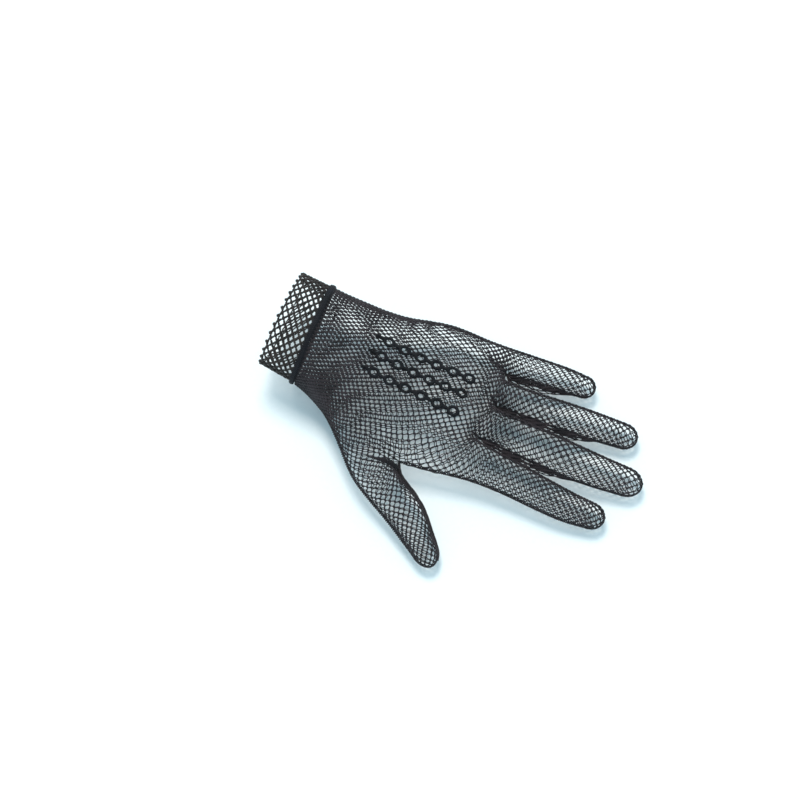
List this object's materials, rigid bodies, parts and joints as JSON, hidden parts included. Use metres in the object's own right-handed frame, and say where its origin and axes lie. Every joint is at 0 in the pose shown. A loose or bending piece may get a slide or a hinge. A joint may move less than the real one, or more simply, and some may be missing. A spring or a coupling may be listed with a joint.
{
  "type": "fishnet glove",
  "caption": "Wrist-length full-fingered fishnet glove for a left hand, with a net cuff, a narrow wrist band and chains of eyelets on the back.",
  "frame": {"origin": "middle of the cuff's free edge, where the arm goes in", "axes": "+X from the wrist to the fingertips, +Y to the little finger's side, +Z out of the back of the hand"},
  "size_m": [0.1918, 0.122, 0.0434],
  "materials": {
    "net_yarn": "fine black stretch nylon net, semi-dull",
    "cuff_yarn": "coarser black nylon net, semi-dull",
    "elastic": "black ribbed elastic, dull",
    "eyelet_thread": "black thread wound tight round each eyelet, slight sheen"
  },
  "bodies": {
    "root": {"hand_net": "net_yarn", "thumb_stall": "net_yarn", "index_stall": "net_yarn", "middle_stall": "net_yarn", "ring_stall": "net_yarn", "pinky_stall": "net_yarn", "cuff_net": "cuff_yarn", "wrist_band": "elastic", "eyelet_row_1": "eyelet_thread", "eyelet_row_2": "eyelet_thread", "eyelet_row_3": "eyelet_thread"}
  },
  "joints": []
}
